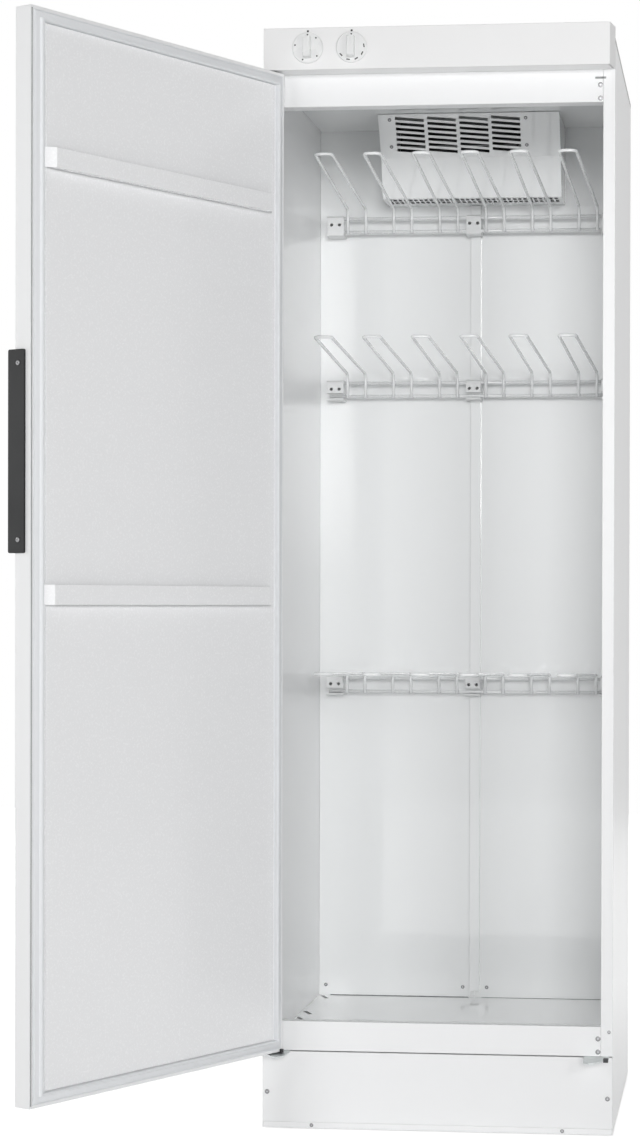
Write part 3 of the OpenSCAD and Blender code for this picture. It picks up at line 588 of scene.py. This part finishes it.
def rack_mesh(height, tilt, rise):
    work = bmesh.new()
    for z in (height, height - ROD_GAP):
        add_wire(work, [Vector((x, ROD_Y, z)) for x in (-ROD_HALF, ROD_HALF)], ROD_R)
    slope = math.radians(tilt)
    tip_y = LEG_Y - PRONG_REACH * math.cos(slope)
    tip_z = height + rise + PRONG_REACH * math.sin(slope)
    foot_z = height - ROD_GAP - LEG_END
    for i in range(6):
        root, tip = (i - 2.5) * PRONG_PITCH, (i - 2.5) * TIP_PITCH
        corners = [(root - PRONG_HALF, LEG_Y, foot_z), (root - PRONG_HALF, LEG_Y, height + rise),
                   (tip - TIP_HALF, tip_y, tip_z), (tip + TIP_HALF, tip_y, tip_z),
                   (root + PRONG_HALF, LEG_Y, height + rise), (root + PRONG_HALF, LEG_Y, foot_z)]
        turns = (rise - 0.002, TIP_BEND, TIP_BEND, rise - 0.002)
        add_wire(work, rounded_path([Vector(c) for c in corners], turns), PRONG_R)
        for x in (root - PRONG_HALF, root + PRONG_HALF):
            for z in (height, height - ROD_GAP):
                add_weld(work, Vector((x, ROD_Y - ROD_R, z)))
    return finished(work, "rack_wires")


dipped_wire = enamel("dipped_wire", (0.93, 0.94, 0.945), (0.2, 0.3), peel=0.15, coat=0.5, edge=0.0)
for rack, (body, *bends) in RACKS.items():
    wires = mesh_piece(rack + "_wires", rack_mesh(*bends), (dipped_wire,), body)
    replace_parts(wires, rack)


# ---- Foam strips ----
# A thin strip of grey foam closes the joint between the back panels and the floor.
# It is pressed in, and shows as a fine line above the floor.

FOAM_Z, FOAM_WAVE, FOAM_STEPS = 0.1406, 0.0001, 40
FOAM_RUNS = ((-0.274, -0.008, 0.0009), (0.018, 0.276, 0.0003))
work = bmesh.new()
for left, right, radius in FOAM_RUNS:
    run = [Vector((left + (right - left) * k / FOAM_STEPS, BACK_WALL - 0.0002,
                   FOAM_Z + FOAM_WAVE * math.sin(k * 1.7))) for k in range(FOAM_STEPS + 1)]
    add_wire(work, run, radius, 8)
# The same grey also makes the door's joint bead, which is painted shade.
strip_grey = moulded("grey_strips", (0.2, 0.21, 0.21), (0.7, 0.85), grain=0.5, grain_scale=1200.0)
mesh_piece("foam_strips", finished(work, "strip_grey"), (strip_grey,), "cabinet")


# ---- Door ----
# A folded outer pan and a smooth inner panel, both enamelled. The pieces added to the
# door below are drawn shut and swung open about the hinge pins.

PIVOT = Vector((-0.281, -0.306, 0))
DOOR_OPEN = math.radians(118.8)
SWING = (Matrix.Translation(PIVOT) @ Matrix.Rotation(-DOOR_OPEN, 4, "Z")
         @ Matrix.Translation(-PIVOT))
DOOR_X = (-0.2955, 0.2955)
DOOR_Z = (0.137, 1.783)
PAN_IN = -0.289

dress(outer_enamel, "door_outer_panel")
door_enamel = enamel("door_enamel", (0.925, 0.93, 0.94), (0.26, 0.28), peel=0.06, coat=0.3)
dress(door_enamel, "door_inner_panel", "door_rail_upper", "door_rail_lower")


# ---- Door grip ----
# A flat black strip, moulded with a fine grain and screwed to the free edge of the
# door. It stands out past the door's face, so fingers reach behind it.

grip_black = moulded("grip_black", (0.011, 0.0115, 0.012), (0.5, 0.6), grain=0.35, clouds=0.08)
grip_black.node_tree.nodes["Principled BSDF"].inputs["Specular IOR Level"].default_value = 0.3
dress(grip_black, "door_handle")
GRIP_FACE, GRIP_MIDDLE, GRIP_SCREWS_Z = 0.2991, -0.3115, (0.987, 1.251)
work = bmesh.new()
for z in GRIP_SCREWS_Z:
    add_screw(work, Vector((GRIP_FACE, GRIP_MIDDLE, z)), (1, 0, 0), 0.0038, 0.0014, 0.002, 0.0136)
work.transform(SWING)
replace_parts(mesh_piece("handle_screws_turned", finished(work, "handle_screws"),
                       (plated, plated), "door"), "handle_screws")


# ---- Door gasket ----
# A pale soft strip, welded at its four corners: a small bead in the fold of the pan, a
# flat lip, and beside the panel a round bulb with the magnet that meets the cabinet.

# Its outline in millimetres: the distance in from the door's edge, and the height.
GASKET_PROFILE = [(5.5, -0.2), (5.5, 1.8), (6.0, 2.4), (6.6, 2.4), (7.1, 1.6), (7.6, 2.6),
                  (8.2, 3.2), (16.0, 3.2), (16.6, 3.8), (16.9, 7.0), (17.8, 8.2), (19.2, 8.4),
                  (20.8, 8.2), (21.7, 7.2), (22.0, 5.6), (22.2, -0.2)]


def gasket_mesh():
    """Sweeps the profile round the door, mitred at the corners."""
    work = bmesh.new()
    rings = []
    for right, top in ((0, 0), (1, 0), (1, 1), (0, 1)):
        ring = []
        for inset, out in GASKET_PROFILE:
            x = DOOR_X[right] + inset / 1000 * (1 - 2 * right)
            z = DOOR_Z[top] + inset / 1000 * (1 - 2 * top)
            ring.append(work.verts.new((x, PAN_IN + out / 1000, z)))
        rings.append(ring)
    count = len(GASKET_PROFILE)
    for i in range(4):
        here, there = rings[i], rings[(i + 1) % 4]
        for k in range(count):
            after = (k + 1) % count
            face = work.faces.new((here[k], here[after], there[after], there[k]))
            face.smooth = True
    bmesh.ops.recalc_face_normals(work, faces=work.faces)
    mesh = finished(work, "gasket")
    mesh.transform(SWING)
    mesh.set_sharp_from_angle(angle=math.radians(50))
    return mesh


RUBBER_DARK, RUBBER_LIGHT = (0.79, 0.805, 0.825), (0.82, 0.835, 0.85)
gasket_rubber, rubber_tree, rubber_shader = bare_material("gasket_rubber")
rubber_grain = noise_node(rubber_tree, 900.0, 2.0)
rubber_tree.links.new(blend_colour(rubber_tree, rubber_grain, RUBBER_DARK, RUBBER_LIGHT),
                      rubber_shader.inputs["Base Color"])
rubber_tree.links.new(spread(rubber_tree, rubber_grain, 0.45, 0.55),
                      rubber_shader.inputs["Roughness"])
bumped(rubber_tree, rubber_shader, rubber_grain, 0.05, 0.0001)
gasket_strip = mesh_piece("gasket_strip", gasket_mesh(), (gasket_rubber,), "door")
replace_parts(gasket_strip, "door_gasket")

# Along the free edge a thin dark bead is painted shade: it stands for the shadow in
# the gap between the pan's fold and the gasket.
JOINT_INSET, JOINT_END, JOINT_R = 0.0024, 0.004, 0.0007
joint_heights = (DOOR_Z[0] + JOINT_END, (DOOR_Z[0] + DOOR_Z[1]) / 2, DOOR_Z[1] - JOINT_END)
work = bmesh.new()
add_wire(work, [Vector((DOOR_X[1] - JOINT_INSET, PAN_IN, z)) for z in joint_heights], JOINT_R, 8)
work.transform(SWING)
mesh_piece("door_joint_shade", finished(work, "door_joint_shade"), (strip_grey,), "door")


# ---- Floor and light ----
# A plain pale floor that fades into the white surroundings. A soft lamp stands far
# behind the camera, and weaker ones round the cabinet and above it light its other sides.

floor_mesh = bpy.data.meshes.new("studio_floor")
FLOOR_HALF = 6.0
floor_corners = [(x * FLOOR_HALF, y * FLOOR_HALF, 0)
                 for x, y in ((-1, -1), (1, -1), (1, 1), (-1, 1))]
floor_mesh.from_pydata(floor_corners, [], [(0, 1, 2, 3)])
studio_floor = bpy.data.objects.new("studio_floor", floor_mesh)
bpy.context.scene.collection.objects.link(studio_floor)
floor_paper, floor_tree, floor_shader = bare_material("floor_paper")
floor_mesh.materials.append(floor_paper)
floor_shader.inputs["Base Color"].default_value = (0.93, 0.93, 0.93, 1)
floor_shader.inputs["Roughness"].default_value = 0.8
floor_shader.inputs["Specular IOR Level"].default_value = 0.1
floor_place = floor_tree.nodes.new("ShaderNodeTexCoord")
floor_length = floor_tree.nodes.new("ShaderNodeVectorMath")
floor_length.operation = "LENGTH"
floor_tree.links.new(floor_place.outputs["Object"], floor_length.inputs[0])
FADE_START, FADE_END, NEAR_GLOW = 0.4, 1.5, 0.62
floor_fade = floor_tree.nodes.new("ShaderNodeMapRange")
floor_fade.interpolation_type = "SMOOTHSTEP"
floor_fade.inputs["From Min"].default_value = FADE_START
floor_fade.inputs["From Max"].default_value = FADE_END
floor_fade.inputs["To Min"].default_value = NEAR_GLOW
floor_tree.links.new(floor_length.outputs["Value"], floor_fade.inputs["Value"])
floor_light_path = floor_tree.nodes.new("ShaderNodeLightPath")
seen = math_node(floor_tree, "ADD", floor_light_path.outputs["Is Camera Ray"],
                 floor_light_path.outputs["Is Glossy Ray"], True)
floor_glow = floor_tree.nodes.new("ShaderNodeEmission")
floor_tree.links.new(math_node(floor_tree, "MULTIPLY", floor_fade.outputs["Result"], seen),
                     floor_glow.inputs["Strength"])
floor_sum = floor_tree.nodes.new("ShaderNodeAddShader")
floor_tree.links.new(floor_shader.outputs["BSDF"], floor_sum.inputs[0])
floor_tree.links.new(floor_glow.outputs["Emission"], floor_sum.inputs[1])
floor_surface = floor_tree.nodes["Material Output"].inputs["Surface"]
floor_tree.links.new(floor_sum.outputs["Shader"], floor_surface)

FILL_LIGHT = 0.06
world = bpy.data.worlds.new("studio")
bpy.context.scene.world = world
world.use_nodes = True
sky = world.node_tree
sky.nodes.clear()
sky_path = sky.nodes.new("ShaderNodeLightPath")
mirrored = math_node(sky, "ADD", sky_path.outputs["Is Glossy Ray"],
                     sky_path.outputs["Is Transmission Ray"])
seen_white = math_node(sky, "ADD", sky_path.outputs["Is Camera Ray"], mirrored, True)
lit, white = sky.nodes.new("ShaderNodeBackground"), sky.nodes.new("ShaderNodeBackground")
lit.inputs["Color"].default_value = (1, 1, 1, 1)
lit.inputs["Strength"].default_value = FILL_LIGHT
white.inputs["Color"].default_value = (1, 1, 1, 1)
white.inputs["Strength"].default_value = 1.0
chosen = sky.nodes.new("ShaderNodeMixShader")
surroundings = sky.nodes.new("ShaderNodeOutputWorld")
sky.links.new(seen_white, chosen.inputs["Fac"])
sky.links.new(lit.outputs["Background"], chosen.inputs[1])
sky.links.new(white.outputs["Background"], chosen.inputs[2])
sky.links.new(chosen.outputs["Shader"], surroundings.inputs["Surface"])


def softbox(name, place, target, size, power):
    lamp = bpy.data.lights.new(name, "AREA")
    lamp.shape = "RECTANGLE"
    lamp.size, lamp.size_y = size
    lamp.energy = power
    holder = bpy.data.objects.new(name, lamp)
    holder.visible_camera = False
    bpy.context.scene.collection.objects.link(holder)
    holder.location = place
    holder.rotation_euler = (Vector(target) - Vector(place)).to_track_quat("-Z", "Y").to_euler()


# Each lamp: its place, the point it looks at, its width and height, and its watts.
softbox("left_lamp", (-2.6, -4.4, 1.9), (0, -0.2, 0.9), (0.6, 1.6), 30)
softbox("front_lamp", (1.4, -9.2, 2.2), (0, -0.2, 0.8), (2.2, 1.8), 294)
softbox("right_lamp", (2.9, -4.3, 1.5), (0, -0.2, 0.85), (0.8, 2.0), 44)
softbox("side_lamp", (4.4, -0.9, 1.3), (0.2, -0.2, 0.95), (1.6, 2.4), 18)
softbox("far_side_lamp", (-4.4, -0.7, 1.4), (-0.4, -0.2, 0.95), (1.6, 2.4), 40)
softbox("rear_lamp", (-1.4, 5.0, 2.0), (0, 0.2, 0.95), (2.0, 2.4), 100)
softbox("top_lamp", (0.2, 0.6, 4.6), (0, 0, 1.8), (1.6, 1.6), 22)

# The camera stands 4.4 m in front, to the right and 0.9 m above the floor. Its lens has
# 52 mm on a frame 24 mm high, and that frame is shifted sideways and up.
YAW, PITCH, ROLL = -0.1001, -0.0065, 0.0025
FOCAL, CENTRE_X, CENTRE_Y, WIDTH, HEIGHT = 2474.88, 494.87, 617.47, 640, 1140
CAMERA_PLACE, FRAME_HIGH = (0.51296, -4.41669, 0.89671), 24
ahead = Vector((math.sin(YAW) * math.cos(PITCH), math.cos(YAW) * math.cos(PITCH), math.sin(PITCH)))
level_right = Vector((math.cos(YAW), -math.sin(YAW), 0))
level_up = level_right.cross(ahead)
camera_right = level_right * math.cos(ROLL) + level_up * math.sin(ROLL)
camera_up = level_up * math.cos(ROLL) - level_right * math.sin(ROLL)
lens = bpy.data.cameras.new("camera")
camera = bpy.data.objects.new("camera", lens)
bpy.context.scene.collection.objects.link(camera)
camera.matrix_world = Matrix((camera_right, camera_up, -ahead)).transposed().to_4x4()
camera.location = CAMERA_PLACE
lens.sensor_fit = "VERTICAL"
lens.sensor_height = FRAME_HIGH
lens.lens = FOCAL / HEIGHT * FRAME_HIGH
lens.shift_x = -(CENTRE_X - WIDTH / 2) / HEIGHT
lens.shift_y = (CENTRE_Y - HEIGHT / 2) / HEIGHT
bpy.context.scene.camera = camera
bpy.context.scene.view_settings.view_transform = "Standard"
